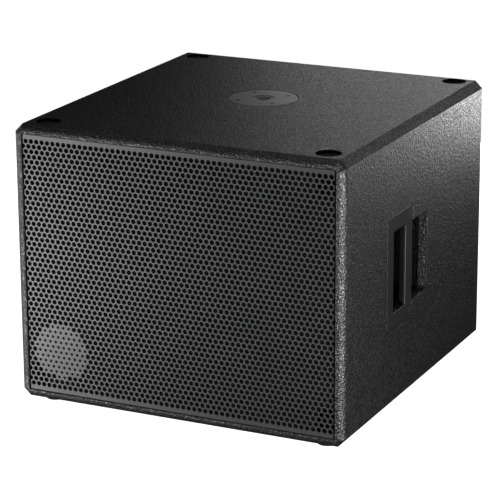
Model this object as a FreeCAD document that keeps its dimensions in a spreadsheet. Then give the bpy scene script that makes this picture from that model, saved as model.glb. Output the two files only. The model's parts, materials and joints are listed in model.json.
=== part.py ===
"""Bass-reflex subwoofer cabinet: a plywood enclosure with one 15 inch driver behind a steel grille.

Millimetres. +Z is up, the grille faces -Y, and the origin is on the floor under the middle of
the cabinet. Every size is bound to the spreadsheet "dims".
"""
import FreeCAD, Part
import math
import os
from types import SimpleNamespace

import Sketcher

Vector = FreeCAD.Vector

DIMENSIONS = {
    # enclosure
    "width": 586,
    "height": 469,
    "depth": 602,
    "ply": 15,
    "bevel": 13,
    "front_round": 13,
    "lip_ease": 1,
    "baffle_ply": 18,
    "baffle_setback": 40,
    "brace_setback": 420,
    "brace_bar": 45,
    # perforated grille and its foam; a round field of smaller holes decorates one corner
    "grille_setback": 2,
    "grille_sheet": 1.5,
    "grille_width": 550,
    "grille_height": 437,
    "hole_pitch": 10,
    "hole_radius": 4,
    "small_hole": 2.5,
    "field_radius": 46,
    "field_x": -215,
    "field_z": -147,
    "foam_gap": 0.5,
    "foam_sheet": 5,
    "bracket_sheet": 2,
    "bracket_reach": 24,
    "bracket_half": 18,
    "grille_screw_depth": 26,
    "grille_screw_inset": 40,
    # feet and the recesses that take the feet of a second cabinet
    "foot_drop": 8,
    "foot_radius": 19,
    "recess_radius": 21,
    "recess_deep": 5.75,
    "foot_side": 44,
    "foot_front": 39,
    "foot_rear": 22,
    # pole flange
    "flange_offset": 30,
    "flange_radius": 59,
    "flange_sheet": 5,
    "boss_radius": 19,
    "boss_length": 40,
    "pole_bore": 8.75,
    "flange_screw_circle": 45,
    # side handles, measured back from the front of the cabinet
    "plate_front": 176.5,
    "plate_width": 106.5,
    "plate_height": 192,
    "plate_sheet": 5,
    "plate_corner": 8,
    "slot_front": 202.5,
    "slot_rear": 254,
    "slot_height": 138,
    "pocket_rear": 349,
    "pocket_corner": 10,
    "pocket_wall": 9,
    "pocket_depth": 70,
    "plate_screw_x": 42,
    "plate_screw_z": 83.5,
    # 15 inch driver
    "driver_radius": 194,
    "cutout_radius": 176,
    "bolt_circle": 185.5,
    "driver_seal": 1,
    "rim_height": 8,
    "roll_centre": 155,
    "roll_radius": 12,
    "skin": 0.8,
    "coil_radius": 38.9,
    "magnet_radius": 100,
    # reflex ports
    "port_side": 222,
    "port_rise": 164,
    "port_radius": 40,
    "port_wall": 3,
    "port_length": 250,
    "port_flange": 52,
    # rear connector plate
    "connector_width": 158,
    "connector_height": 118,
    "connector_pocket": 6,
    "connector_sheet": 2,
    "socket_offset": 33,
    "socket_radius": 12,
    # damping and wiring
    "lining": 20,
    "wire_radius": 1.6,
}

# How far a part's own +Z turns to face each way.
FACING = {
    "up": FreeCAD.Rotation(),
    "down": FreeCAD.Rotation(Vector(1, 0, 0), 180),
    "front": FreeCAD.Rotation(Vector(1, 0, 0), 90),
    "rear": FreeCAD.Rotation(Vector(1, 0, 0), -90),
    "right": FreeCAD.Rotation(Vector(0, 1, 0), 90),
    "left": FreeCAD.Rotation(Vector(0, 1, 0), -90),
}

# Turns a flat outline so that its x runs to the back, its y up and its thickness to the right.
ACROSS = FreeCAD.Rotation(Vector(1, 1, 1), 120)

SIDES = {"left": -1, "right": 1}

HIDDEN_LIP = 3
PLATE_PLAY = 0.5
FLANGE_PLAY = 1
GRILLE_ROWS = 49
GRILLE_COLUMNS = 55
GRILLE_SCREW = 22
HANDLE_SCREW = 14
FLANGE_SCREW = 14
FOOT_SCREW_BITE = 12
PILOT_RADIUS = 3
PILOT_DEEP = 5
BOSS_STEP = 0.8
POLE_SINK = 4.25
GRIP_RADIUS = 8
GRIP_DEEP = 9
FOOT_BORE = 2.4
FOOT_SEAT = 5
FOOT_MOUTH = 6
SLOT_CORNER = 3
RIM_ROUND = 1.2
FLANGE_PILOT = 2.6
BRACE_CORNER = 10
CONNECTOR_LEDGE = 14
CONNECTOR_CORNER = 6
CONNECTOR_SCREW = 11
CONNECTOR_SCREW_INSET = 7
CONNECTOR_PILOT = 1.9
GASKET = 1
SOCKET_FLANGE = 2.5
SOCKET_FLANGE_WIDTH = 26
SOCKET_FLANGE_HEIGHT = 31
SOCKET_LENGTH = 30
SOCKET_SCREW = 10
SOCKET_SCREW_SHAFT = 1.4
SOCKET_SCREW_HEAD = 2.7
SOCKET_SCREW_X = 9.5
SOCKET_SCREW_Z = 12
WELL_DEEP = 19
WELL_RADIUS = 10.6
CORE_RADIUS = 5.4
KEYWAY_DEEP = 14
TAB_WIDTH = 4.8
TAB_SHEET = 0.8
TAB_LENGTH = 9
PORT_LIP = 3
PORT_FLARE = 9
PORT_PLAY = 0.3
LINING_GAP = 0.5
LINING_CLEARANCE = 4

# The driver's stations along its axis, from the back of its rim; the front is positive.
DRIVER_BOLTS = 8
RIM_BOLT = 3
RIM_BOLT_HOLE = 3.3
RIM_BOLT_LENGTH = 32
TEE_BARREL = 4
TEE_FLANGE = 9
TEE_SHEET = 1.5
TEE_LENGTH = 9
BASKET_THROAT = 166
BASKET_NECK = 175
BASKET_WAIST = 171
BASKET_KNEE = -20
BASKET_WINDOWS = 6
WINDOW_HALF = 37
WINDOW_LOW = -72
WINDOW_HIGH = -23
SPIDER_SEAT = -76
SPIDER_LEDGE = 84
SPIDER_OUTER = 96
SPIDER_FOLDS = 8
HUB_TOP = -90
HUB_LOW = -96
HUB_RADIUS = 104
HUB_BORE = 56
HUB_STEP = 14
HUB_SCREW_CIRCLE = 70
HUB_SCREW_ANGLES = (30, 120, 210, 300)
MAGNET_HIGH = -106
MAGNET_LOW = -130
MAGNET_BORE = 50
PLATE_INSET = 5
BACK_LOW = -142
VENT_RADIUS = 12
NECK_LOW = -63
CAP_RADIUS = 54
CAP_LOW = -44.5
CAP_RISE = 18
CAP_FLAT = 2
RIM_GAP = 0.3
FORMER_SPAN = (-116, -60)
WINDING_SPAN = (-114, -88)
TRIM_INNER = 168
TRIM_OUTER = 179.5
TRIM_HIGH = 3
TAB_X = 112
TAB_Y = 6


class Size:
    """A length that carries both its number and the spreadsheet formula that gives it."""

    def __init__(self, number, formula):
        self.number = number
        self.formula = formula

    def __add__(self, other):
        other = as_size(other)
        return Size(self.number + other.number, f"({self.formula} + {other.formula})")

    def __sub__(self, other):
        other = as_size(other)
        return Size(self.number - other.number, f"({self.formula} - {other.formula})")

    def __mul__(self, factor):
        return Size(self.number * factor, f"({self.formula} * ({factor:.9g}))")

    def __truediv__(self, divisor):
        return Size(self.number / divisor, f"({self.formula} / {divisor:.9g})")

    def __neg__(self):
        return Size(-self.number, f"(-{self.formula})")

    def __rsub__(self, other):
        return as_size(other) - self

    __radd__ = __add__
    __rmul__ = __mul__


def as_size(value):
    return value if isinstance(value, Size) else Size(value, f"({value:.9g})")


def number(value):
    return value.number if isinstance(value, Size) else value


def make_sheet():
    """Writes the driving dimensions to the spreadsheet and gives them back as named sizes."""
    table = doc.addObject("Spreadsheet::Sheet", "dims")
    sizes = {}
    for row, (alias, value) in enumerate(DIMENSIONS.items(), start=1):
        table.set(f"A{row}", alias)
        table.set(f"B{row}", str(value))
        table.setAlias(f"B{row}", alias)
        sizes[alias] = Size(value, f"dims.{alias}")
    doc.recompute()
    return SimpleNamespace(**sizes)


# ---------------------------------------------------------------- drawing helpers


def bind(obj, prop, value):
    """Gives a property its spreadsheet formula."""
    obj.setExpression(prop, as_size(value).formula)


def place(obj, position, rotation=FACING["up"]):
    obj.Placement = FreeCAD.Placement(Vector(*(number(value) for value in position)), rotation)
    for axis, value in zip("xyz", position):
        bind(obj, f"Placement.Base.{axis}", value)
    return obj


def new(kind, name):
    obj = doc.addObject(kind, name)
    obj.Label = name
    return obj


def box(name, low, high, turn=0):
    """A box between two corners, turned by some degrees about the Z axis through the origin."""
    obj = new("Part::Box", name)
    for prop, start, end in zip(("Length", "Width", "Height"), low, high):
        bind(obj, prop, as_size(end) - start)
    cosine = math.cos(math.radians(turn))
    sine = math.sin(math.radians(turn))
    x = as_size(low[0])
    y = as_size(low[1])
    corner = (x * cosine - y * sine, x * sine + y * cosine, low[2])
    return place(obj, corner, FreeCAD.Rotation(Vector(0, 0, 1), turn))


def rod(name, position, radius, length, facing="up"):
    obj = new("Part::Cylinder", name)
    bind(obj, "Radius", radius)
    bind(obj, "Height", length)
    return place(obj, position, FACING[facing])


def cone(name, position, radius_start, radius_end, length, facing="up"):
    obj = new("Part::Cone", name)
    bind(obj, "Radius1", radius_start)
    bind(obj, "Radius2", radius_end)
    bind(obj, "Height", length)
    return place(obj, position, FACING[facing])


def group(name, items, position=(0, 0, 0), facing="up"):
    """Separate solids kept together as one compound."""
    obj = new("Part::Compound", name)
    obj.Links = items
    return place(obj, position, FACING[facing])


def fuse(name, items):
    obj = new("Part::MultiFuse", name)
    obj.Shapes = items
    return obj


def cut(name, base, tools):
    obj = new("Part::Cut", name)
    obj.Base = base
    obj.Tool = tools[0] if len(tools) == 1 else group(name + "_cutters", tools)
    return obj


def common(name, base, tool):
    obj = new("Part::Common", name)
    obj.Base = base
    obj.Tool = tool
    return obj


def draw_outline(sketch, outline):
    """Draws a closed outline of (x, y) corners, each held by two dimensions.

    A third value is the radius of an arc that reaches the corner from the one before it:
    positive when the arc bends to the left, negative to the right.
    """
    points = [Vector(number(corner[0]), number(corner[1]), 0) for corner in outline]
    first_line = sketch.GeometryCount
    first_rule = sketch.ConstraintCount
    geometry = []
    ends = []
    for index, corner in enumerate(outline):
        start = points[index - 1]
        end = points[index]
        if len(corner) == 2:
            geometry.append(Part.LineSegment(start, end))
            ends.append((1, 2))
            continue
        radius = number(corner[2])
        chord = end - start
        to_left = Vector(-chord.y, chord.x, 0).normalize()
        reach = math.sqrt(radius**2 - (chord.Length / 2) ** 2)
        centre = (start + end) / 2 + to_left * math.copysign(reach, radius)
        first, last = (start, end) if radius > 0 else (end, start)
        angles = [math.atan2(p.y - centre.y, p.x - centre.x) for p in (first, last)]
        if angles[1] < angles[0]:
            angles[1] += 2 * math.pi
        circle = Part.Circle(centre, Vector(0, 0, 1), abs(radius))
        geometry.append(Part.ArcOfCircle(circle, *angles))
        ends.append((1, 2) if radius > 0 else (2, 1))
    sketch.addGeometry(geometry, False)

    rules = []
    formulas = {}

    def hold(kind, *place_and_value, size):
        formulas[len(rules)] = size
        rules.append(Sketcher.Constraint(kind, *place_and_value, number(size)))

    count = len(outline)
    for index, corner in enumerate(outline):
        following = (index + 1) % count
        rules.append(
            Sketcher.Constraint(
                "Coincident",
                first_line + index,
                ends[index][1],
                first_line + following,
                ends[following][0],
            )
        )
        corner_at = (first_line + index, ends[index][1])
        for kind, axis_line, value in (("DistanceX", -2, corner[0]), ("DistanceY", -1, corner[1])):
            if number(value) == 0:
                rules.append(Sketcher.Constraint("PointOnObject", *corner_at, axis_line))
            else:
                hold(kind, -1, 1, *corner_at, size=value)
        if len(corner) == 3:
            radius = as_size(corner[2])
            hold("Radius", first_line + index, size=radius if radius.number > 0 else -radius)
    sketch.addConstraint(rules)
    for index, size in formulas.items():
        bind(sketch, f"Constraints[{first_rule + index}]", size)


def new_body(name, plane_role, outline):
    body = new("PartDesign::Body", name)
    sketch = body.newObject("Sketcher::SketchObject", name + "_sketch")
    planes = [item for item in body.Origin.OriginFeatures if item.Role == plane_role]
    sketch.AttachmentSupport = (planes[0], [""])
    sketch.MapMode = "FlatFace"
    draw_outline(sketch, outline)
    return body, sketch


def turned(name, outline, position=(0, 0, 0), facing="up"):
    """A body of revolution: the outline is (radius, height) about the facing direction."""
    body, sketch = new_body(name, "XZ_Plane", outline)
    revolution = body.newObject("PartDesign::Revolution", name + "_turn")
    revolution.Profile = sketch
    revolution.ReferenceAxis = (sketch, ["V_Axis"])
    revolution.Angle = 360
    return place(body, position, FACING[facing])


def extruded(name, outline, length, position=(0, 0, 0), rotation=FACING["up"]):
    """An (x, y) outline padded along its own +Z."""
    body, sketch = new_body(name, "XY_Plane", outline)
    pad = body.newObject("PartDesign::Pad", name + "_pad")
    pad.Profile = sketch
    bind(pad, "Length", length)
    return place(body, position, rotation)


def rounded_outline(left, right, low, high, radius):
    """A rectangle with four rounded corners, drawn anticlockwise."""
    return [
        (right - radius, low),
        (right, low + radius, radius),
        (right, high - radius),
        (right - radius, high, radius),
        (left + radius, high),
        (left, high - radius, radius),
        (left, low + radius),
        (left + radius, low, radius),
    ]


def on_circle(radius, degrees):
    angle = math.radians(degrees)
    return radius * math.cos(angle), radius * math.sin(angle)


def round_wire(name, route, radius):
    """A wire of straight runs joined by tangent arcs, each as large as its runs allow."""
    run_share = 0.45
    points = [Vector(*(number(value) for value in point)) for point in route]
    edges = []
    pen = points[0]
    for before, corner, after in zip(points, points[1:], points[2:]):
        run_in = corner - before
        run_out = after - corner
        tangent = run_share * min(run_in.Length, run_out.Length)
        half_turn = run_in.getAngle(run_out) / 2
        bend = tangent / math.tan(half_turn)
        run_in.normalize()
        run_out.normalize()
        inward = (run_out - run_in).normalize()
        arc_start = corner - run_in * tangent
        arc_end = corner + run_out * tangent
        arc_middle = corner + inward * bend * (1 / math.cos(half_turn) - 1)
        edges.append(Part.makeLine(pen, arc_start))
        edges.append(Part.Arc(arc_start, arc_middle, arc_end).toShape())
        pen = arc_end
    edges.append(Part.makeLine(pen, points[-1]))
    path = Part.Wire(edges)
    circle = Part.Circle(points[0], points[1] - points[0], number(radius)).toShape()
    obj = new("Part::Feature", name)
    obj.Shape = path.makePipeShell([Part.Wire(circle)], True, False)
    obj.Placement = FreeCAD.Placement()
    return obj


# ---------------------------------------------------------------- screws and their holes

SCREW_PLAY = 0.15
SOCKET_DEEP = 1.6
FLAT_SOCKET_SHARE = 0.7
DIRECTIONS = {
    "right": (0, 1),
    "left": (0, -1),
    "rear": (1, 1),
    "front": (1, -1),
    "up": (2, 1),
    "down": (2, -1),
}


def step(position, facing, distance):
    """A place moved some way along a facing direction."""
    axis, sign = DIRECTIONS[facing]
    moved = list(position)
    moved[axis] = moved[axis] + sign * distance
    return moved


def drive_socket(name, position, facing, radius):
    """The cutter for a screw's hexagon socket, sunk from position."""
    socket = new("Part::Prism", name)
    socket.Polygon = 6
    socket.Circumradius = radius
    socket.Height = SOCKET_DEEP
    return place(socket, step(position, facing, -SOCKET_DEEP), FACING[facing])


def flat_screw(name, position, facing, length, shaft=2.2, head=4.6):
    """A countersunk screw whose head faces out and is flush at position."""
    sink = head - shaft
    head_cone = cone(name + "_head", step(position, facing, -sink), shaft, head, sink, facing)
    stem = rod(name + "_stem", step(position, facing, -length), shaft, length - sink, facing)
    socket = drive_socket(name + "_socket", position, facing, shaft * FLAT_SOCKET_SHARE)
    return cut(name, fuse(name + "_blank", [head_cone, stem]), [socket])


def flat_hole(name, position, facing, length, shaft=2.2, head=4.6):
    """The cutter for the hole that such a screw sits in."""
    wide = shaft + SCREW_PLAY
    sink = head - shaft
    mouth = cone(
        name + "_sink", step(position, facing, -sink), wide, head + SCREW_PLAY, sink, facing
    )
    bore = rod(name + "_bore", step(position, facing, -length - SCREW_PLAY), wide, length, facing)
    return fuse(name, [mouth, bore])


def cap_screw(name, position, facing, length, shaft, head, head_height):
    """A cap screw whose head stands on the surface at position."""
    head_rod = rod(name + "_head", position, head, head_height, facing)
    stem = rod(name + "_stem", step(position, facing, -length), shaft, length, facing)
    socket = drive_socket(name + "_socket", step(position, facing, head_height), facing, shaft)
    return cut(name, fuse(name + "_blank", [head_rod, stem]), [socket])


# ---------------------------------------------------------------- enclosure


def shell_block():
    """The outside of the cabinet as one solid: four bevelled edges and a rounded front."""
    half_width = d.width / 2
    half_height = d.height / 2
    outline = [
        (half_width - d.bevel, -half_height),
        (half_width, -half_height + d.bevel),
        (half_width, half_height - d.bevel),
        (half_width - d.bevel, half_height),
        (-half_width + d.bevel, half_height),
        (-half_width, half_height - d.bevel),
        (-half_width, -half_height + d.bevel),
        (-half_width + d.bevel, -half_height),
    ]
    body = extruded("shell_block", outline, d.depth, (0, rear, middle), FACING["front"])
    doc.recompute()
    pad = body.Tip
    front_edges = [
        f"Edge{index}"
        for index, edge in enumerate(pad.Shape.Edges, start=1)
        if all(abs(vertex.Z - d.depth.number) < 1e-6 for vertex in edge.Vertexes)
    ]
    rounding = body.newObject("PartDesign::Fillet", "shell_rounding")
    rounding.Base = (pad, front_edges)
    bind(rounding, "Radius", d.front_round)
    return body


def lip_cutter():
    """A shallow funnel that eases the inner edge of the front opening."""
    wedge = new("Part::Wedge", "lip_cutter")
    wide_x = inner_x + d.lip_ease
    wide_z = inner_high + d.lip_ease - middle
    for prop, value in {
        "Xmin": -wide_x,
        "Xmax": wide_x,
        "Zmin": -wide_z,
        "Zmax": wide_z,
        "Ymin": as_size(0),
        "Ymax": d.lip_ease,
        "X2min": -inner_x,
        "X2max": inner_x,
        "Z2min": middle - inner_high,
        "Z2max": inner_high - middle,
    }.items():
        setattr(wedge, prop, value.number)
        bind(wedge, prop, value)
    return place(wedge, (0, front, middle))


def foot_places():
    """The plan positions shared by the feet and the stacking recesses."""
    places = {}
    for side, sign in SIDES.items():
        x = sign * (d.width / 2 - d.foot_side)
        places[f"front_{side}"] = (x, front + d.foot_front)
        places[f"rear_{side}"] = (x, rear - d.foot_rear)
    return places


def handle_screw_places(side):
    x = SIDES[side] * d.width / 2
    centre = front + d.plate_front + d.plate_width / 2
    return [
        (x, centre + along * d.plate_screw_x, middle + up * d.plate_screw_z)
        for along in (-1, 1)
        for up in (-1, 1)
    ]


def grille_screw_places(side):
    x = SIDES[side] * d.width / 2
    y = front + d.grille_screw_depth
    return [(x, y, floor + d.grille_screw_inset), (x, y, top - d.grille_screw_inset)]


def across(side, deep_from, deep_to):
    """The x position nearer the left of a span of depths below a side's outer face."""
    outer = SIDES[side] * d.width / 2
    return outer - deep_to if side == "right" else outer + deep_from


def side_panel(side):
    """A side of the cabinet with its handle pocket, plate rebate and screw holes."""
    name = f"{side}_side_panel"
    low_x = across(side, 0, d.ply)
    slab = box(name + "_slab", (low_x, front, floor), (low_x + d.ply, rear, top))
    pocket = extruded(
        name + "_pocket",
        rounded_outline(
            d.slot_front - HIDDEN_LIP,
            d.pocket_rear,
            -d.slot_height / 2,
            d.slot_height / 2,
            d.pocket_corner,
        ),
        d.ply + 2,
        (low_x - 1, front, middle),
        ACROSS,
    )
    rebate = extruded(
        name + "_rebate",
        rounded_outline(
            d.plate_front - PLATE_PLAY,
            d.plate_front + d.plate_width + PLATE_PLAY,
            -d.plate_height / 2 - PLATE_PLAY,
            d.plate_height / 2 + PLATE_PLAY,
            d.plate_corner,
        ),
        d.plate_sheet + 1,
        (across(side, -1, d.plate_sheet), front, middle),
        ACROSS,
    )
    cutters = [pocket, rebate, lip]
    for index, place_at in enumerate(handle_screw_places(side)):
        cutters.append(flat_hole(f"{name}_plate_hole_{index}", place_at, side, HANDLE_SCREW))
    for index, place_at in enumerate(grille_screw_places(side)):
        cutters.append(flat_hole(f"{name}_grille_hole_{index}", place_at, side, GRILLE_SCREW))
    return cut(name, common(name + "_blank", shell, slab), cutters)


def top_panel():
    """The top, with the pole flange's seat and the four stacking recesses."""
    slab = box("top_panel_slab", (-inner_x, front, inner_high), (inner_x, rear, top))
    centre = (0, d.flange_offset, top)
    seat = step(centre, "down", d.flange_sheet)
    cutters = [
        lip,
        rod("flange_seat", seat, d.flange_radius + FLANGE_PLAY, d.flange_sheet + 1),
        rod("boss_hole", step(centre, "down", d.ply + 1), d.boss_radius + 0.5, d.ply + 1),
    ]
    for name, (x, y) in foot_places().items():
        bottom = (x, y, top - d.recess_deep)
        cutters.append(rod(f"recess_{name}", bottom, d.recess_radius, d.recess_deep + 1))
        drill = step(bottom, "down", PILOT_DEEP)
        cutters.append(rod(f"recess_pilot_{name}", drill, PILOT_RADIUS, PILOT_DEEP + 1))
    for index, place_at in enumerate(flange_screw_places()):
        deep = step(place_at, "down", FLANGE_SCREW)
        cutters.append(rod(f"flange_pilot_{index}", deep, FLANGE_PILOT, FLANGE_SCREW + 1))
    return cut("top_panel", common("top_panel_blank", shell, slab), cutters)


def bottom_panel():
    slab = box("bottom_panel_slab", (-inner_x, front, floor), (inner_x, rear, inner_low))
    cutters = [lip]
    for name, (x, y) in foot_places().items():
        cutters.append(rod(f"foot_pilot_{name}", (x, y, floor - 1), FOOT_BORE, FOOT_SCREW_BITE + 2))
    return cut("bottom_panel", common("bottom_panel_blank", shell, slab), cutters)


def rear_panel():
    """The back, with a routed pocket and cut-out for the connector plate."""
    half_width = d.connector_width / 2 + PLATE_PLAY
    half_height = d.connector_height / 2 + PLATE_PLAY
    low = (-inner_x, rear - d.ply, inner_low)
    panel = box("rear_panel_slab", low, (inner_x, rear, inner_high))
    pocket = extruded(
        "connector_pocket",
        rounded_outline(
            -half_width,
            half_width,
            -half_height,
            half_height,
            as_size(CONNECTOR_CORNER + PLATE_PLAY),
        ),
        d.connector_pocket + 1,
        (0, rear + 1, middle),
        FACING["front"],
    )
    opening = box(
        "connector_opening",
        (-half_width + CONNECTOR_LEDGE, rear - d.ply - 1, middle - half_height + CONNECTOR_LEDGE),
        (half_width - CONNECTOR_LEDGE, rear, middle + half_height - CONNECTOR_LEDGE),
    )
    cutters = [pocket, opening]
    for index, place_at in enumerate(connector_screw_places()):
        deep = step(place_at, "front", CONNECTOR_SCREW + 0.5)
        cutters.append(
            rod(f"connector_pilot_{index}", deep, CONNECTOR_PILOT, CONNECTOR_SCREW + 1, "rear")
        )
    return cut("rear_panel", panel, cutters)


def front_baffle():
    """The board that carries the driver and the four ports."""
    low = (-inner_x, baffle_front, inner_low)
    board = box("front_baffle_board", low, (inner_x, baffle_front + d.baffle_ply, inner_high))
    through = d.baffle_ply + 2
    centre = (0, baffle_front - 1, middle)
    cutters = [rod("driver_cutout", centre, d.cutout_radius, through, "rear")]
    for name, (x, z) in port_places().items():
        place_at = (x, baffle_front - 1, z)
        cutters.append(rod(f"port_hole_{name}", place_at, port_outer + PORT_PLAY, through, "rear"))
    bolt_holes = []
    for index, (x, y) in enumerate(driver_bolt_places()):
        bolt_holes.append(rod(f"baffle_bolt_hole_{index}", (x, y, -through), TEE_BARREL + 0.2, through + 1))
    cutters.append(group("baffle_bolt_holes", bolt_holes, driver_at, "front"))
    return cut("front_baffle", board, cutters)


def window_brace():
    """A ply frame with four windows that ties the walls together behind the driver."""
    low_y = front + d.brace_setback
    frame = box(
        "window_brace_board", (-inner_x, low_y, inner_low), (inner_x, low_y + d.ply, inner_high)
    )
    windows = []
    half_bar = d.brace_bar / 2
    for x_sign in (-1, 1):
        for z_sign in (-1, 1):
            across_span = sorted((x_sign * half_bar, x_sign * (inner_x - d.brace_bar)), key=number)
            up_span = sorted(
                (z_sign * half_bar, z_sign * (inner_high - middle - d.brace_bar)), key=number
            )
            windows.append(
                extruded(
                    f"brace_window_{len(windows)}",
                    rounded_outline(*across_span, *up_span, as_size(BRACE_CORNER)),
                    d.ply + 2,
                    (0, low_y + d.ply + 1, middle),
                    FACING["front"],
                )
            )
    return cut("window_brace", frame, windows)


# ---------------------------------------------------------------- grille


def grille():
    """A flat sheet with staggered round holes; the shorter rows end in half holes.

    Each row is a strip of its own, and the strips' faces are sewn into one solid.
    """
    pitch = d.hole_pitch.number
    rise = pitch * math.sqrt(3) / 2
    half_width = d.grille_width.number / 2
    half_height = d.grille_height.number / 2
    thickness = Vector(0, d.grille_sheet.number, 0)
    field_centre = Vector(d.field_x.number, 0, d.field_z.number)
    full_radius = d.hole_radius.number

    def hole_at(x, z):
        centre = Vector(x, 0, z)
        in_field = (centre - field_centre).Length < d.field_radius.number
        radius = d.small_hole.number if in_field else full_radius
        return Part.Wire(Part.Circle(centre, Vector(0, 1, 0), radius).toShape())

    def edge_run(x, z, low, high):
        """One end of a strip, going up; a short row's end has half a hole in it."""
        if z is None:
            return [Part.makeLine(Vector(x, 0, low), Vector(x, 0, high))]
        inner = x - math.copysign(full_radius, x)
        start = Vector(x, 0, z - full_radius)
        end = Vector(x, 0, z + full_radius)
        return [
            Part.makeLine(Vector(x, 0, low), start),
            Part.Arc(start, Vector(inner, 0, z), end).toShape(),
            Part.makeLine(end, Vector(x, 0, high)),
        ]

    outside = []
    for row in range(GRILLE_ROWS):
        z = (row - (GRILLE_ROWS - 1) / 2) * rise
        low = -half_height if row == 0 else z - rise / 2
        high = half_height if row == GRILLE_ROWS - 1 else z + rise / 2
        notch = z if row % 2 else None
        boundary = Part.Wire(
            Part.__sortEdges__(
                edge_run(half_width, notch, low, high)
                + edge_run(-half_width, notch, low, high)
                + [
                    Part.makeLine(Vector(-half_width, 0, low), Vector(half_width, 0, low)),
                    Part.makeLine(Vector(-half_width, 0, high), Vector(half_width, 0, high)),
                ]
            )
        )
        count = GRILLE_COLUMNS - row % 2
        holes = [hole_at((column - (count - 1) / 2) * pitch, z) for column in range(count)]
        strip = Part.Face([boundary] + holes).extrude(thickness)
        for face in strip.Faces:
            span = face.BoundBox
            flat = span.ZLength < 1e-6 and span.XLength > half_width
            if not flat or abs(abs(span.ZMin) - half_height) < 1e-6:
                outside.append(face)
    shell_of_sheet = Part.Shell(outside)
    shell_of_sheet.sewShape()
    obj = new("Part::Feature", "grille")
    obj.Shape = Part.Solid(shell_of_sheet)
    return place(obj, (0, front + d.grille_setback, middle))


def bracket_places():
    heights = (floor + d.grille_screw_inset, top - d.grille_screw_inset)
    return [(side, z) for side in SIDES for z in heights]


def grille_foam():
    """The acoustic foam behind the grille, notched round the four brackets."""
    low_y = front + d.grille_setback + d.grille_sheet + d.foam_gap
    half = d.grille_width / 2
    half_height = d.grille_height / 2
    sheet = box(
        "grille_foam_sheet",
        (-half, low_y, middle - half_height),
        (half, low_y + d.foam_sheet, middle + half_height),
    )
    notches = []
    for index, (side, z) in enumerate(bracket_places()):
        reach = d.bracket_reach + 4
        low_x = across(side, d.ply, d.ply + reach)
        notches.append(
            box(
                f"foam_notch_{index}",
                (low_x, low_y - 1, z - d.bracket_half - 1),
                (low_x + reach, low_y + d.foam_sheet + 1, z + d.bracket_half + 1),
            )
        )
    return cut("grille_foam", sheet, notches)


def grille_brackets():
    """Four steel angles: one leg behind the grille's edge, the other on the side panel."""
    low_y = front + d.grille_setback + d.grille_sheet + d.foam_gap
    angles = []
    for index, (side, z) in enumerate(bracket_places()):
        name = f"bracket_{index}"
        low_z = z - d.bracket_half
        high_z = z + d.bracket_half
        leg_x = across(side, d.ply, d.ply + d.bracket_sheet)
        reach_x = across(side, d.ply, d.ply + d.bracket_reach)
        side_leg = box(
            name + "_side_leg",
            (leg_x, low_y, low_z),
            (leg_x + d.bracket_sheet, front + d.baffle_setback - 4, high_z),
        )
        front_leg = box(
            name + "_front_leg",
            (reach_x, low_y, low_z),
            (reach_x + d.bracket_reach, low_y + d.bracket_sheet, high_z),
        )
        start = across(side, d.ply - 1, d.ply + d.bracket_sheet + 1)
        hole = rod(
            name + "_hole",
            (start, front + d.grille_screw_depth, z),
            2.3,
            d.bracket_sheet + 2,
            "right",
        )
        angles.append(cut(name, fuse(name + "_blank", [side_leg, front_leg]), [hole]))
    return group("grille_brackets", angles)


def grille_screws():
    screws = []
    for side in SIDES:
        for place_at in grille_screw_places(side):
            name = f"grille_screw_{len(screws)}"
            screws.append(flat_screw(name, place_at, side, GRILLE_SCREW))
    return group("grille_screws", screws)


# ---------------------------------------------------------------- handles


def handle_plate(side):
    """A flush cast plate with a finger slot and a round grip bar behind its rear edge."""
    name = f"{side}_handle_plate"
    low_x = across(side, 0, d.plate_sheet)
    plate_rear = d.plate_front + d.plate_width
    half = d.plate_height / 2
    slot_half = d.slot_height / 2
    body, sketch = new_body(
        name + "_casting",
        "XY_Plane",
        rounded_outline(d.plate_front, plate_rear, -half, half, d.plate_corner),
    )
    draw_outline(
        sketch,
        rounded_outline(d.slot_front, d.slot_rear, -slot_half, slot_half, as_size(SLOT_CORNER)),
    )
    pad = body.newObject("PartDesign::Pad", name + "_pad")
    pad.Profile = sketch
    bind(pad, "Length", d.plate_sheet)
    place(body, (low_x, front, middle), ACROSS)
    doc.recompute()
    rims = [
        f"Edge{index}"
        for index, edge in enumerate(pad.Shape.Edges, start=1)
        if edge.BoundBox.ZLength < 1e-6
    ]
    rounding = body.newObject("PartDesign::Fillet", name + "_rounding")
    rounding.Base = (pad, rims)
    rounding.Radius = RIM_ROUND
    grip_at = (
        SIDES[side] * (d.width / 2 - GRIP_DEEP),
        front + (d.slot_rear + plate_rear) / 2,
        middle - slot_half + 1,
    )
    grip = rod(name + "_grip", grip_at, GRIP_RADIUS, d.slot_height - 2)
    holes = [
        flat_hole(f"{name}_hole_{index}", place_at, side, HANDLE_SCREW)
        for index, place_at in enumerate(handle_screw_places(side))
    ]
    return cut(name, fuse(name + "_blank", [body, grip]), holes)


def handle_box(side):
    """The closed pocket glued inside the cabinet, so that a hand can pass behind the bar."""
    name = f"{side}_handle_box"
    low_y = front + d.slot_front - HIDDEN_LIP
    high_y = front + d.pocket_rear
    half = d.slot_height / 2
    wall = d.pocket_wall
    outer_x = across(side, d.ply, d.pocket_depth + wall)
    inner_start = across(side, d.ply - 1, d.pocket_depth)
    outer = box(
        name + "_outside",
        (outer_x, low_y - wall, middle - half - wall),
        (outer_x + d.pocket_depth + wall - d.ply, high_y + wall, middle + half + wall),
    )
    hollow = box(
        name + "_hollow",
        (inner_start, low_y, middle - half),
        (inner_start + d.pocket_depth - d.ply + 1, high_y, middle + half),
    )
    return cut(name, outer, [hollow])


def handle_screws():
    screws = []
    for side in SIDES:
        for place_at in handle_screw_places(side):
            screws.append(
                flat_screw(f"handle_screw_{len(screws)}", place_at, side, HANDLE_SCREW)
            )
    return group("handle_screws", screws)


# ---------------------------------------------------------------- pole flange and feet


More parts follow.
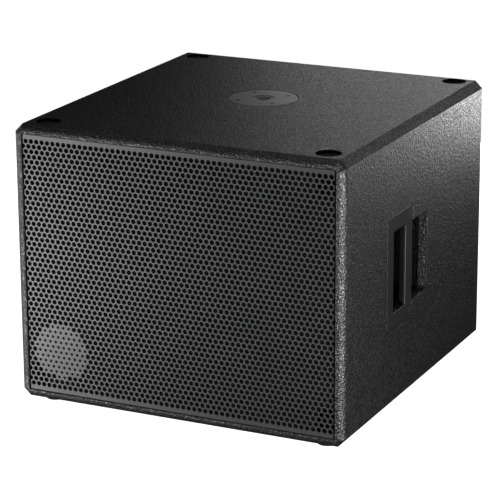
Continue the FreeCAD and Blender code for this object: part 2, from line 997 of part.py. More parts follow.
def flange_screw_places():
    corners = [on_circle(d.flange_screw_circle, turn) for turn in (45, 135, 225, 315)]
    return [(x, y + d.flange_offset, top) for x, y in corners]


def pole_flange():
    """A flush round plate with a long boss, threaded for a loudspeaker pole."""
    outline = [
        (d.pole_bore, -d.boss_length),
        (d.boss_radius, -d.boss_length),
        (d.boss_radius, -d.flange_sheet),
        (d.flange_radius, -d.flange_sheet),
        (d.flange_radius, -BOSS_STEP),
        (d.flange_radius - BOSS_STEP, 0),
        (d.boss_radius, 0),
        (d.boss_radius, -BOSS_STEP),
        (d.pole_bore + POLE_SINK, -BOSS_STEP),
        (d.pole_bore, -BOSS_STEP - POLE_SINK),
    ]
    body = turned("pole_flange_casting", outline, (0, d.flange_offset, top))
    holes = [
        flat_hole(f"flange_hole_{index}", place_at, "up", FLANGE_SCREW, 2.4, 5)
        for index, place_at in enumerate(flange_screw_places())
    ]
    return cut("pole_flange", body, holes)


def pole_flange_screws():
    return group(
        "pole_flange_screws",
        [
            flat_screw(f"flange_screw_{index}", place_at, "up", FLANGE_SCREW, 2.4, 5)
            for index, place_at in enumerate(flange_screw_places())
        ],
    )


def rubber_feet():
    """Four turned rubber feet, each hollowed for its screw."""
    outline = [
        (FOOT_BORE, d.foot_drop),
        (FOOT_BORE, FOOT_SEAT),
        (FOOT_MOUTH, FOOT_SEAT),
        (FOOT_MOUTH, 0),
        (d.foot_radius - 3.5, 0),
        (d.foot_radius - 2, 1.5, as_size(1.5)),
        (d.foot_radius, d.foot_drop),
    ]
    feet = [
        turned(f"foot_{name}", outline, (x, y, 0)) for name, (x, y) in foot_places().items()
    ]
    return group("rubber_feet", feet)


def foot_screws():
    screws = []
    for name, (x, y) in foot_places().items():
        length = d.foot_drop - FOOT_SEAT + FOOT_SCREW_BITE
        screws.append(
            cap_screw(f"foot_screw_{name}", (x, y, as_size(FOOT_SEAT)), "down", length, 2.25, 5.2, 3)
        )
    return group("foot_screws", screws)


# ---------------------------------------------------------------- driver


def driver_bolt_places():
    step_angle = 360 / DRIVER_BOLTS
    return [
        on_circle(d.bolt_circle, step_angle * (index + 0.5)) for index in range(DRIVER_BOLTS)
    ]


def driver_part(name, outline):
    return turned(name, outline, driver_at, "front")


def driver_basket():
    """The cast frame: a bolted rim, six spokes and a seat for the magnet."""
    outline = [
        (BASKET_THROAT, d.rim_height),
        (BASKET_THROAT, BASKET_KNEE + 3),
        (SPIDER_OUTER + 1, SPIDER_SEAT),
        (SPIDER_LEDGE, SPIDER_SEAT),
        (SPIDER_LEDGE, HUB_TOP),
        (HUB_BORE, HUB_TOP),
        (HUB_BORE, HUB_LOW),
        (HUB_RADIUS, HUB_LOW),
        (HUB_RADIUS, HUB_LOW + HUB_STEP),
        (BASKET_WAIST, BASKET_KNEE),
        (BASKET_NECK, 0),
        (d.driver_radius, 0),
        (d.driver_radius, d.rim_height),
    ]
    casting = driver_part("driver_basket_casting", outline)
    windows = [
        box(
            f"basket_window_{index}",
            (HUB_RADIUS + 2, -WINDOW_HALF, WINDOW_LOW),
            (d.bolt_circle, WINDOW_HALF, WINDOW_HIGH),
            360 / BASKET_WINDOWS * index,
        )
        for index in range(BASKET_WINDOWS)
    ]
    bolt_holes = [
        rod(f"rim_hole_{index}", (x, y, -1), RIM_BOLT_HOLE, d.rim_height + 2)
        for index, (x, y) in enumerate(driver_bolt_places())
    ]
    screw_holes = [
        rod(f"hub_hole_{index}", (*on_circle(HUB_SCREW_CIRCLE, angle), HUB_LOW - 1), 3, 8)
        for index, angle in enumerate(HUB_SCREW_ANGLES)
    ]
    cutters = group("basket_cutters", windows + bolt_holes + screw_holes, driver_at, "front")
    return cut("driver_basket", casting, [cutters])


def ring(name, inner, outer, low, high):
    return driver_part(name, [(inner, low), (outer, low), (outer, high), (inner, high)])


def driver_seal():
    """The foam ring between the basket's rim and the baffle, with its bolt holes."""
    strip = ring("driver_seal_strip", d.cutout_radius + 2, d.driver_radius - 1, -d.driver_seal, 0)
    holes = [
        rod(f"seal_hole_{index}", (x, y, -2), RIM_BOLT_HOLE, 4)
        for index, (x, y) in enumerate(driver_bolt_places())
    ]
    return cut("driver_seal", strip, [group("seal_holes", holes, driver_at, "front")])


def surround():
    """The flexible half roll between the cone and the basket's rim."""
    low = d.rim_height
    high = low + d.skin
    outer = d.roll_radius
    inner = d.roll_radius - d.skin
    centre = d.roll_centre
    return driver_part(
        "surround",
        [
            (centre + inner, low),
            (centre + outer + 11, low),
            (centre + outer + 11, high),
            (centre + outer, high),
            (centre, high + outer, outer),
            (centre - outer, high, outer),
            (centre - outer - 10, high),
            (centre - outer - 10, low),
            (centre - inner, low),
            (centre - inner, high),
            (centre, high + inner, -inner),
            (centre + inner, high, -inner),
        ],
    )


def speaker_cone():
    """The curved paper cone, from the coil's neck to the flat rim under the surround."""
    rim_top = d.rim_height - RIM_GAP
    rim_outer = d.roll_centre - d.roll_radius + 1
    rim_inner = rim_outer - 12
    neck = d.coil_radius + 0.2
    flare = as_size(260)
    return driver_part(
        "cone",
        [
            (neck, NECK_LOW),
            (neck + 1.2, NECK_LOW),
            (rim_inner + 0.6, rim_top - 1, -flare),
            (rim_outer, rim_top - 1),
            (rim_outer, rim_top),
            (rim_inner, rim_top),
            (neck, NECK_LOW + 0.9, flare),
        ],
    )


def dust_cap():
    """A shallow dome over the coil, with a small flat at its middle."""
    wall = 1
    dome = (CAP_RADIUS**2 + CAP_RISE**2) / (2 * CAP_RISE)
    drop = dome - math.sqrt(dome**2 - CAP_FLAT**2)
    crown = CAP_LOW + CAP_RISE - drop
    return driver_part(
        "dust_cap",
        [
            (0, crown - wall),
            (CAP_FLAT, crown - wall),
            (CAP_RADIUS - wall, CAP_LOW, -dome),
            (CAP_RADIUS, CAP_LOW),
            (CAP_FLAT, crown, dome),
            (0, crown),
        ],
    )


def spider():
    """The corrugated centring disc between the former and the basket's inner seat."""
    low = SPIDER_SEAT
    roll = 2.4
    start = d.coil_radius + 0.4
    ridges = [(start, low), (start + 3, low)]
    first = start + 3
    pitch = (as_size(SPIDER_LEDGE) - first) / SPIDER_FOLDS
    for fold in range(1, SPIDER_FOLDS):
        lift = roll if fold % 2 else -roll / 2
        ridges.append((first + pitch * fold, low + lift))
    ridges.append((as_size(SPIDER_LEDGE), as_size(low)))
    ridges.append((as_size(SPIDER_OUTER), as_size(low)))
    above = [(radius, height + d.skin) for radius, height in reversed(ridges)]
    return driver_part("spider", ridges + above)


def yoke():
    """The back plate and centre pole in one piece, with a vent through it."""
    outer = d.magnet_radius - PLATE_INSET
    pole = d.coil_radius - 1.7
    return driver_part(
        "pole_yoke",
        [
            (VENT_RADIUS, BACK_LOW),
            (outer, BACK_LOW),
            (outer, MAGNET_LOW),
            (pole, MAGNET_LOW),
            (pole, HUB_LOW + 2),
            (VENT_RADIUS, HUB_LOW + 2),
        ],
    )


def magnet_top_plate():
    inner = d.coil_radius + 2.4
    outer = d.magnet_radius - PLATE_INSET
    plate = ring("top_plate_blank", inner, outer, MAGNET_HIGH, HUB_LOW)
    holes = [
        rod(f"top_plate_hole_{index}", (*on_circle(HUB_SCREW_CIRCLE, angle), -105), 3, 20)
        for index, angle in enumerate(HUB_SCREW_ANGLES)
    ]
    return cut("magnet_top_plate", plate, [group("top_plate_holes", holes, driver_at, "front")])


def magnet_screws():
    screws = [
        cap_screw(
            f"magnet_screw_{index}",
            (*on_circle(HUB_SCREW_CIRCLE, angle), HUB_TOP),
            "up",
            12,
            2.9,
            4.8,
            4,
        )
        for index, angle in enumerate(HUB_SCREW_ANGLES)
    ]
    return group("magnet_screws", screws, driver_at, "front")


def driver_bolts():
    bolts = [
        cap_screw(
            f"driver_bolt_{index}", (x, y, d.rim_height), "up", RIM_BOLT_LENGTH, RIM_BOLT, 5, 3.6
        )
        for index, (x, y) in enumerate(driver_bolt_places())
    ]
    return group("driver_bolts", bolts, driver_at, "front")


def driver_tee_nuts():
    """Flanged nuts pressed into the back of the baffle."""
    back = -d.driver_seal - d.baffle_ply
    nuts = []
    for index, (x, y) in enumerate(driver_bolt_places()):
        name = f"tee_nut_{index}"
        plate = rod(name + "_plate", (x, y, back - TEE_SHEET), TEE_FLANGE, TEE_SHEET)
        barrel = rod(name + "_barrel", (x, y, back), TEE_BARREL, TEE_LENGTH)
        bore = rod(name + "_bore", (x, y, back - TEE_SHEET - 1), RIM_BOLT + 0.1, TEE_LENGTH + 4)
        nuts.append(cut(name, fuse(name + "_blank", [plate, barrel]), [bore]))
    return group("driver_tee_nuts", nuts, driver_at, "front")


def driver_terminals():
    """A plastic block on the basket with two solder tabs."""
    low = HUB_LOW
    block = box("terminal_block", (HUB_RADIUS, -15, low), (HUB_RADIUS + 20, 15, low + 12))
    tabs = [
        box(
            f"terminal_tab_{sign}",
            (TAB_X - TAB_WIDTH / 2, sign * TAB_Y - TAB_SHEET / 2, low - TAB_LENGTH - 1),
            (TAB_X + TAB_WIDTH / 2, sign * TAB_Y + TAB_SHEET / 2, low),
        )
        for sign in (-1, 1)
    ]
    return group("driver_terminals", [fuse("terminal_piece", [block] + tabs)], driver_at, "front")


def tinsel_leads():
    """Two flexible leads from the terminals through a basket window to the cone."""
    leads = []
    for index, y in enumerate((-TAB_Y, TAB_Y)):
        route = [
            (120, y, HUB_LOW + 12),
            (120, y, HUB_LOW + 26),
            (104, y, HUB_LOW + 38),
            (86, y, HUB_LOW + 36),
            (74, y, HUB_LOW + 46),
        ]
        leads.append(round_wire(f"tinsel_lead_{index}", route, as_size(1)))
    return group("tinsel_leads", leads, driver_at, "front")


# ---------------------------------------------------------------- reflex ports


def port_places():
    return {
        f"{level}_{side}": (sign * d.port_side, middle + up * d.port_rise)
        for side, sign in SIDES.items()
        for level, up in (("upper", 1), ("lower", -1))
    }


def port_tube(name, x, z):
    """A plain tube with a flared front flange."""
    lip_high = as_size(PORT_LIP)
    outline = [
        (d.port_radius, -d.port_length),
        (port_outer, -d.port_length),
        (port_outer, as_size(0)),
        (d.port_flange, as_size(0)),
        (d.port_flange, lip_high),
        (d.port_radius + PORT_FLARE, lip_high),
        (d.port_radius, lip_high - PORT_FLARE, as_size(PORT_FLARE)),
    ]
    return turned(f"port_tube_{name}", outline, (x, baffle_front, z), "front")


# ---------------------------------------------------------------- rear connectors


def connector_screw_places():
    x = d.connector_width / 2 - CONNECTOR_SCREW_INSET
    z = d.connector_height / 2 - CONNECTOR_SCREW_INSET
    y = rear - d.connector_pocket + GASKET + d.connector_sheet
    return [(sx * x, y, middle + sz * z) for sx in (-1, 1) for sz in (-1, 1)]


def connector_plate():
    half_width = d.connector_width / 2
    half_height = d.connector_height / 2
    low_y = rear - d.connector_pocket + GASKET
    sheet = extruded(
        "connector_plate_sheet",
        rounded_outline(
            -half_width, half_width, -half_height, half_height, as_size(CONNECTOR_CORNER)
        ),
        d.connector_sheet,
        (0, low_y + d.connector_sheet, middle),
        FACING["front"],
    )
    holes = [
        rod(f"plate_socket_hole_{side}", (sign * d.socket_offset, low_y - 1, middle),
            d.socket_radius + 0.2, d.connector_sheet + 2, "rear")
        for side, sign in SIDES.items()
    ]
    for index, place_at in enumerate(connector_screw_places()):
        start = step(place_at, "front", d.connector_sheet + 1)
        holes.append(rod(f"plate_screw_hole_{index}", start, 2, d.connector_sheet + 2, "rear"))
    for index, place_at in enumerate(socket_screw_places()):
        start = step(place_at, "front", 12)
        holes.append(rod(f"plate_nut_hole_{index}", start, 1.6, 12, "rear"))
    return cut("connector_plate", sheet, holes)


def connector_gasket():
    """A foam tape frame under the connector plate."""
    half_width = d.connector_width / 2
    half_height = d.connector_height / 2
    low_y = rear - d.connector_pocket
    outer = box(
        "connector_gasket_sheet",
        (-half_width, low_y, middle - half_height),
        (half_width, low_y + GASKET, middle + half_height),
    )
    hole = box(
        "connector_gasket_hole",
        (-half_width + CONNECTOR_LEDGE, low_y - 1, middle - half_height + CONNECTOR_LEDGE),
        (half_width - CONNECTOR_LEDGE, low_y + 2, middle + half_height - CONNECTOR_LEDGE),
    )
    cutters = [hole]
    for index, place_at in enumerate(connector_screw_places()):
        cutters.append(rod(f"gasket_hole_{index}", step(place_at, "front", 5), 2, 6, "rear"))
    corner = CONNECTOR_CORNER
    for index, (sx, sz) in enumerate(((-1, -1), (-1, 1), (1, -1), (1, 1))):
        x = sx * half_width
        z = middle + sz * half_height
        span_x = sorted((x, x - sx * corner / 2), key=number)
        span_z = sorted((z, z - sz * corner / 2), key=number)
        cutters.append(
            box(
                f"gasket_corner_{index}",
                (span_x[0] - 1, low_y - 1, span_z[0] - 1),
                (span_x[1] + 1, low_y + 2, span_z[1] + 1),
            )
        )
    return cut("connector_gasket", outer, cutters)


def connector_plate_screws():
    screws = [
        cap_screw(f"connector_screw_{index}", place_at, "rear", CONNECTOR_SCREW, 1.8, 3.5, 2)
        for index, place_at in enumerate(connector_screw_places())
    ]
    return group("connector_plate_screws", screws)


def socket_face():
    return rear - d.connector_pocket + GASKET + d.connector_sheet + SOCKET_FLANGE


def socket_screw_places():
    places = []
    for sign in SIDES.values():
        for corner in (-1, 1):
            x = sign * d.socket_offset + corner * SOCKET_SCREW_X
            places.append((x, socket_face(), middle - corner * SOCKET_SCREW_Z))
    return places


def chassis_socket(name, side):
    """A round twist-lock loudspeaker socket: flange, barrel, annular well and centre core."""
    x = SIDES[side] * d.socket_offset
    face = socket_face()
    flange = box(
        name + "_flange",
        (x - SOCKET_FLANGE_WIDTH / 2, face - SOCKET_FLANGE, middle - SOCKET_FLANGE_HEIGHT / 2),
        (x + SOCKET_FLANGE_WIDTH / 2, face, middle + SOCKET_FLANGE_HEIGHT / 2),
    )
    barrel = rod(name + "_barrel", (x, face - SOCKET_LENGTH, middle), d.socket_radius,
                 SOCKET_LENGTH - 1, "rear")
    well_start = (x, face - WELL_DEEP, middle)
    core_start = (x, face - WELL_DEEP - 1, middle)
    well = cut(
        name + "_well",
        rod(name + "_well_outer", well_start, WELL_RADIUS, WELL_DEEP + 1, "rear"),
        [rod(name + "_core", core_start, CORE_RADIUS, WELL_DEEP - 1, "rear")],
    )
    keyway = box(
        name + "_keyway", (x - 1.5, face - KEYWAY_DEEP, middle + 8), (x + 1.5, face + 1, middle + 11)
    )
    cutters = [well, keyway]
    for index, place_at in enumerate(socket_screw_places()):
        if number(place_at[0] * number(x)) > 0:
            cutters.append(
                flat_hole(
                    f"{name}_hole_{index}",
                    place_at,
                    "rear",
                    SOCKET_SCREW + 1,
                    SOCKET_SCREW_SHAFT,
                    SOCKET_SCREW_HEAD,
                )
            )
    return cut(name, fuse(name + "_blank", [flange, barrel]), cutters)


def socket_screws():
    screws = []
    for index, place_at in enumerate(socket_screw_places()):
        screws.append(
            flat_screw(
                f"socket_screw_{index}",
                place_at,
                "rear",
                SOCKET_SCREW,
                SOCKET_SCREW_SHAFT,
                SOCKET_SCREW_HEAD,
            )
        )
    return group("socket_screws", screws)


def socket_terminals():
    """Four flat tabs on the back of each socket."""
    back = socket_face() - SOCKET_LENGTH
    tabs = []
    for side, sign in SIDES.items():
        for x_sign in (-1, 1):
            for z_sign in (-1, 1):
                x = sign * d.socket_offset + x_sign * 6
                z = middle + z_sign * 6
                low = (x - TAB_WIDTH / 2, back - TAB_LENGTH, z - TAB_SHEET / 2)
                high = (x + TAB_WIDTH / 2, back, z + TAB_SHEET / 2)
                tabs.append(box(f"tab_{len(tabs)}", low, high))
    return group("socket_terminals", tabs)


def speaker_wire(name, sign):
    """One wire from the input socket, through the brace, to the driver's terminals."""
    back = socket_face().number - SOCKET_LENGTH - 9.5
    tab_y = baffle_front.number - d.driver_seal.number - HUB_LOW + 10.5
    z = middle.number
    start_x = -d.socket_offset.number + 6 * sign
    brace_y = front.number + d.brace_setback.number
    route = [
        (start_x, back, z + 6),
        (start_x, back - 28, z + 6),
        (start_x + 22, back - 62, z + 22),
        (42 + 5 * sign, brace_y + 22, z + 40),
        (46 + 5 * sign, brace_y - 22, z + 41),
        (62 + 5 * sign, brace_y - 70, z + 34 - 3 * sign),
        (92 + 3 * sign, brace_y - 130, z + 20 - 4 * sign),
        (TAB_X + 8, tab_y + 72, z + 8 - 5 * sign),
        (TAB_X + 2, tab_y + 26, z - TAB_Y * sign),
        (TAB_X, tab_y, z - TAB_Y * sign),
    ]
    return round_wire(name, route, d.wire_radius)


def cable_clip():
    """A moulded saddle on the brace's cross bar that holds both wires."""
    low_y = front + d.brace_setback + 2
    low_z = middle + d.brace_bar / 2
    block = box("cable_clip_block", (33.2, low_y, low_z), (55.2, low_y + 8, low_z + 24))
    slot = box("cable_clip_slot", (35.7, low_y - 1, low_z + 15), (52.7, low_y + 9, low_z + 21))
    return cut("cable_clip", block, [slot])


def lining():
    """Five fibre pads on the walls behind the brace."""
    thick = d.lining
    start = front + d.brace_setback + d.ply + LINING_CLEARANCE
    end = rear - d.ply - LINING_GAP
    wall_x = inner_x - LINING_GAP
    low_z = inner_low + LINING_GAP
    high_z = inner_high - LINING_GAP
    side_end = end - thick - LINING_CLEARANCE
    span_x = wall_x - thick - LINING_CLEARANCE
    pads = [
        box("lining_left", (-wall_x, start, low_z), (-wall_x + thick, side_end, high_z)),
        box("lining_right", (wall_x - thick, start, low_z), (wall_x, side_end, high_z)),
        box("lining_top", (-span_x, start, high_z - thick), (span_x, side_end, high_z)),
        box("lining_bottom", (-span_x, start, low_z), (span_x, side_end, low_z + thick)),
    ]
    back = box("lining_rear_pad", (-wall_x, end - thick, low_z), (wall_x, end, high_z))
    window = box(
        "lining_rear_window",
        (-d.connector_width / 2, end - thick - 1, middle - d.connector_height / 2),
        (d.connector_width / 2, end + 1, middle + d.connector_height / 2),
    )
    pads.append(cut("lining_rear", back, [window]))
    return pads


# ---------------------------------------------------------------- assembly

doc = FreeCAD.newDocument("subwoofer_cabinet")
d = make_sheet()

front = -d.depth / 2
rear = d.depth / 2
floor = d.foot_drop
top = d.foot_drop + d.height
middle = d.foot_drop + d.height / 2
inner_x = d.width / 2 - d.ply
inner_low = floor + d.ply
inner_high = top - d.ply
baffle_front = front + d.baffle_setback
port_outer = d.port_radius + d.port_wall
driver_at = (0, baffle_front - d.driver_seal, middle)

shell = shell_block()
lip = lip_cutter()

parts = [side_panel(side) for side in SIDES]
parts += [top_panel(), bottom_panel(), rear_panel(), front_baffle(), window_brace()]
parts += [grille(), grille_foam(), grille_brackets(), grille_screws()]
parts += [handle_plate(side) for side in SIDES]
parts += [handle_box(side) for side in SIDES]
parts += [handle_screws()]
parts += [pole_flange(), pole_flange_screws(), rubber_feet(), foot_screws()]
parts += [
    driver_basket(),
    driver_seal(),
    ring(
        "driver_trim_ring",
        TRIM_INNER,
        TRIM_OUTER,
        d.rim_height + d.skin,
        d.rim_height + d.skin + TRIM_HIGH,
    ),
    driver_bolts(),
    driver_tee_nuts(),
    surround(),
    speaker_cone(),
    dust_cap(),
    ring("voice_coil_former", d.coil_radius - 0.4, d.coil_radius, *FORMER_SPAN),
    ring("voice_coil_winding", d.coil_radius + 0.1, d.coil_radius + 1.4, *WINDING_SPAN),
    spider(),
    magnet_top_plate(),
    ring("ferrite_magnet", MAGNET_BORE, d.magnet_radius, MAGNET_LOW, MAGNET_HIGH),
    yoke(),
    magnet_screws(),
    driver_terminals(),
    tinsel_leads(),
]
parts += [port_tube(name, x, z) for name, (x, z) in port_places().items()]
parts += [connector_plate(), connector_gasket(), connector_plate_screws()]
parts += [chassis_socket("input_socket", "left"), chassis_socket("link_socket", "right")]
parts += [socket_screws(), socket_terminals()]
parts += [speaker_wire("red_speaker_wire", 1), speaker_wire("black_speaker_wire", -1)]
parts += [cable_clip()]
parts += lining()

doc.recompute()
broken = [obj.Name for obj in doc.Objects if {"Invalid", "Error"} & set(obj.State)]
if broken:
    raise RuntimeError(f"objects that failed to recompute: {broken}")
for part in parts:
    if part.Shape.isNull() or not part.Shape.isValid():
        raise RuntimeError(f"{part.Label} has no valid shape")

os.makedirs("parts", exist_ok=True)
for part in parts:
    part.Shape.exportStep(os.path.join("parts", f"{part.Label}.step"))
    print(f"{part.Label}: {len(part.Shape.Solids)} solids, {part.Shape.Volume / 1000:.1f} cm3")
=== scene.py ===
"""Looks of the bass-reflex subwoofer cabinet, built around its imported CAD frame.

Metres, in the frame of the CAD: +Z up, the grille faces -Y, the origin on the floor under the
middle of the cabinet. The hard parts keep their CAD shape and get their materials here. The foam,
the fibre lining, the cone's surround, the spider and the flexible leads are modelled here.
"""

import json
import math

import bpy
import numpy as np
from mathutils import Matrix, Vector, noise


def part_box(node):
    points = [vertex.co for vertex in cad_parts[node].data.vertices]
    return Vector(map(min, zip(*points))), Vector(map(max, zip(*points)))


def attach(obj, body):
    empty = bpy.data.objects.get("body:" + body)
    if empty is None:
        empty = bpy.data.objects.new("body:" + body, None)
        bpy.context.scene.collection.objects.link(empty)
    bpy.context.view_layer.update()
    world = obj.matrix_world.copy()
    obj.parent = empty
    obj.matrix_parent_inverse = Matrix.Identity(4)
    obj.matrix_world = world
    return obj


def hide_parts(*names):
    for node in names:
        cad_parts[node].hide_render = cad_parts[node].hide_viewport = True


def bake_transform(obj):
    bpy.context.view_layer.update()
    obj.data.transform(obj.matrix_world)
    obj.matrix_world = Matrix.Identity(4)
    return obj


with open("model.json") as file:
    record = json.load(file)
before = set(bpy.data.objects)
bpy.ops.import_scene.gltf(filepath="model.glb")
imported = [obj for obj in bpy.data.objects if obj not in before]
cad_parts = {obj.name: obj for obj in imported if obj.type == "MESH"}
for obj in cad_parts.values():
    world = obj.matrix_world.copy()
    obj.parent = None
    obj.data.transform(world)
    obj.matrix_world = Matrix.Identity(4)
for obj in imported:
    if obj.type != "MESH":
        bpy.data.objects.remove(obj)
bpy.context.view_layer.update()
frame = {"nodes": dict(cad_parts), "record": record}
nodes = frame["nodes"]
MM = 0.001

# The colour sockets of Blender's Mix node, which share their names with its other sockets.
MIX_FACTOR, MIX_COLOUR_A, MIX_COLOUR_B, MIX_COLOUR_OUT = 0, 6, 7, 2


# ---------------------------------------------------------------- materials


class Finish:
    """A Principled material with a short way to write its texture nodes.

    Textures use object coordinates, which are metres in the cabinet's own frame, so a scale is
    roughly the number of grains in a metre.
    """

    def __init__(self, name, roughness=0.5, metallic=0.0, specular=0.5):
        self.material = bpy.data.materials.new(name)
        self.material.use_nodes = True
        self.tree = self.material.node_tree
        self.shader = self.tree.nodes["Principled BSDF"]
        self.set("Roughness", roughness)
        self.set("Metallic", metallic)
        self.set("Specular IOR Level", specular)
        self.place = self.node("ShaderNodeTexCoord").outputs["Object"]
        self.normal = None

    def node(self, kind, **settings):
        made = self.tree.nodes.new(kind)
        for key, value in settings.items():
            setattr(made, key, value)
        return made

    def set(self, socket, value):
        self.shader.inputs[socket].default_value = value

    def link(self, source, target):
        self.tree.links.new(source, target)

    def stretched(self, along):
        """Object coordinates scaled by a factor along each axis, for brushing and grain."""
        mapping = self.node("ShaderNodeMapping")
        mapping.inputs["Scale"].default_value = along
        self.link(self.place, mapping.inputs["Vector"])
        return mapping.outputs["Vector"]

    def noise(self, scale, detail=2.0, roughness=0.5, place=None):
        made = self.node("ShaderNodeTexNoise")
        made.inputs["Scale"].default_value = scale
        made.inputs["Detail"].default_value = detail
        made.inputs["Roughness"].default_value = roughness
        self.link(place or self.place, made.inputs["Vector"])
        return made.outputs["Fac"]

    def cells(self, scale, feature="F1"):
        made = self.node("ShaderNodeTexVoronoi", feature=feature)
        made.inputs["Scale"].default_value = scale
        self.link(self.place, made.inputs["Vector"])
        return made.outputs["Distance"]

    def waves(self, scale, direction, distortion=0.0):
        made = self.node("ShaderNodeTexWave", bands_direction=direction)
        made.inputs["Scale"].default_value = scale
        made.inputs["Distortion"].default_value = distortion
        self.link(self.place, made.inputs["Vector"])
        return made.outputs["Fac"]

    def maths(self, operation, first, second):
        made = self.node("ShaderNodeMath", operation=operation)
        for socket, value in zip(made.inputs, (first, second)):
            if isinstance(value, (int, float)):
                socket.default_value = value
            else:
                self.link(value, socket)
        return made.outputs["Value"]

    def steps(self, source, stops):
        """A colour ramp from (position, colour) stops."""
        made = self.node("ShaderNodeValToRGB")
        ramp = made.color_ramp
        while len(ramp.elements) < len(stops):
            ramp.elements.new(1.0)
        for element, (position, colour) in zip(ramp.elements, stops):
            element.position = position
            element.color = (*colour, 1.0)
        self.link(source, made.inputs["Fac"])
        return made.outputs["Color"]

    def multiply(self, first, second):
        """One colour times another."""
        made = self.node("ShaderNodeMix", data_type="RGBA", blend_type="MULTIPLY")
        made.inputs[MIX_FACTOR].default_value = 1.0
        self.link(first, made.inputs[MIX_COLOUR_A])
        self.link(second, made.inputs[MIX_COLOUR_B])
        return made.outputs[MIX_COLOUR_OUT]

    def colour(self, source):
        self.link(source, self.shader.inputs["Base Color"])

    def rough(self, source, low, high):
        """Roughness that runs between two values with a 0 to 1 texture."""
        made = self.node("ShaderNodeMapRange")
        made.inputs["To Min"].default_value = low
        made.inputs["To Max"].default_value = high
        self.link(source, made.inputs["Value"])
        self.link(made.outputs["Result"], self.shader.inputs["Roughness"])

    def soft_edges(self, radius):
        """Rounds the shading of sharp edges over a small radius."""
        made = self.node("ShaderNodeBevel", samples=4)
        made.inputs["Radius"].default_value = radius
        self.normal = made.outputs["Normal"]
        self.link(self.normal, self.shader.inputs["Normal"])

    def bump(self, height, distance, strength=1.0):
        made = self.node("ShaderNodeBump")
        made.inputs["Distance"].default_value = distance
        made.inputs["Strength"].default_value = strength
        self.link(height, made.inputs["Height"])
        if self.normal:
            self.link(self.normal, made.inputs["Normal"])
        self.normal = made.outputs["Normal"]
        self.link(self.normal, self.shader.inputs["Normal"])


def shade(grey, factor=1.0):
    return tuple(channel * factor for channel in grey)


def structured_paint(name, base, painted_glint_grey=0.13, specular=0.42):
    """Tough black paint sprayed into a fine hard grain, with random darker and lighter specks; the
    lighter specks' colour is a painted highlight.

    The lightest specks also have a little metallic share, which makes them mirror the lamps more
    than the rest of the paint does.
    """
    finish = Finish(name, specular=specular)
    grains = finish.cells(400)
    fine = finish.noise(520, 2, 0.6)
    coarse = finish.noise(230, 2, 0.6)
    broad = finish.noise(9, 3)
    speck = finish.noise(430, 0, 0.5)
    # Painted highlights: the light specks' base colour brightens them under any lamp; their
    # metallic share, set below, mirrors the lamps for real.
    tone_and_painted_highlights = finish.steps(
        speck,
        [(0.38, shade(base, 0.3)), (0.47, base), (0.56, (painted_glint_grey * 0.5,) * 3), (0.68, (painted_glint_grey,) * 3)],
    )
    cloudy = finish.steps(broad, [(0.3, (0.85,) * 3), (0.7, (1.0,) * 3)])
    finish.colour(finish.multiply(tone_and_painted_highlights, cloudy))
    tips = finish.steps(speck, [(0.44, (0.0,) * 3), (0.60, (1.0,) * 3)])
    finish.link(tips, finish.shader.inputs["Metallic"])
    finish.rough(coarse, 0.82, 0.02)
    finish.soft_edges(0.9 * MM)
    finish.bump(coarse, 1.6 * MM, 0.9)
    finish.bump(grains, 0.8 * MM, 0.9)
    finish.bump(fine, 0.6 * MM, 0.8)
    return finish.material


def punched_coat(name, base, roughness):
    """Satin powder coat on a perforated sheet, with painted shade darkening the walls of the holes.
    """
    finish = Finish(name, specular=0.5)
    fine = finish.noise(1500, 2, 0.6)
    broad = finish.noise(14, 3)
    body = finish.steps(broad, [(0.25, shade(base, 0.84)), (0.75, shade(base, 1.12))])
    dust = finish.steps(fine, [(0.3, (0.85,) * 3), (0.75, (1.12,) * 3)])
    facing = finish.node("ShaderNodeSeparateXYZ")
    finish.link(finish.node("ShaderNodeNewGeometry").outputs["True Normal"], facing.inputs[0])
    flat = finish.maths("ABSOLUTE", facing.outputs["Y"], 0.0)
    # Painted shade: surfaces that don't face along Y, mostly the walls of the holes, are darkened
    # to 6 percent of the coat's colour.
    hole_wall_painted_shade = finish.steps(flat, [(0.5, (0.06,) * 3), (0.9, (1.0,) * 3)])
    coated = finish.multiply(body, dust)
    finish.colour(finish.multiply(coated, hole_wall_painted_shade))
    finish.rough(finish.maths("SUBTRACT", 1.0, flat), roughness, 0.85)
    finish.bump(fine, 0.12 * MM, 0.6)
    return finish.material


def powder_coat(name, base, roughness, grain_scale=1500, depth=0.12, soft=0.4, specular=0.5):
    """Satin powder coat with a very fine texture."""
    finish = Finish(name, specular=specular)
    fine = finish.noise(grain_scale, 2, 0.6)
    broad = finish.noise(14, 3)
    body = finish.steps(broad, [(0.25, shade(base, 0.84)), (0.75, shade(base, 1.12))])
    dust = finish.steps(fine, [(0.3, (0.85,) * 3), (0.75, (1.12,) * 3)])
    finish.colour(finish.multiply(body, dust))
    finish.rough(fine, roughness - 0.06, roughness + 0.08)
    if soft:
        finish.soft_edges(soft * MM)
    finish.bump(fine, depth * MM, 0.6)
    return finish.material


def plated_metal(name, base, roughness, brushing=(900, 900, 60), metallic=1.0):
    """Bare or plated metal with fine brushing and faint staining."""
    finish = Finish(name, metallic=metallic)
    lines = finish.noise(1.0, 3, 0.65, finish.stretched(brushing))
    stains = finish.noise(40, 4)
    finish.colour(finish.steps(stains, [(0.3, shade(base, 0.8)), (0.7, base)]))
    finish.rough(lines, roughness - 0.08, roughness + 0.12)
    finish.bump(lines, 0.05 * MM, 0.5)
    return finish.material


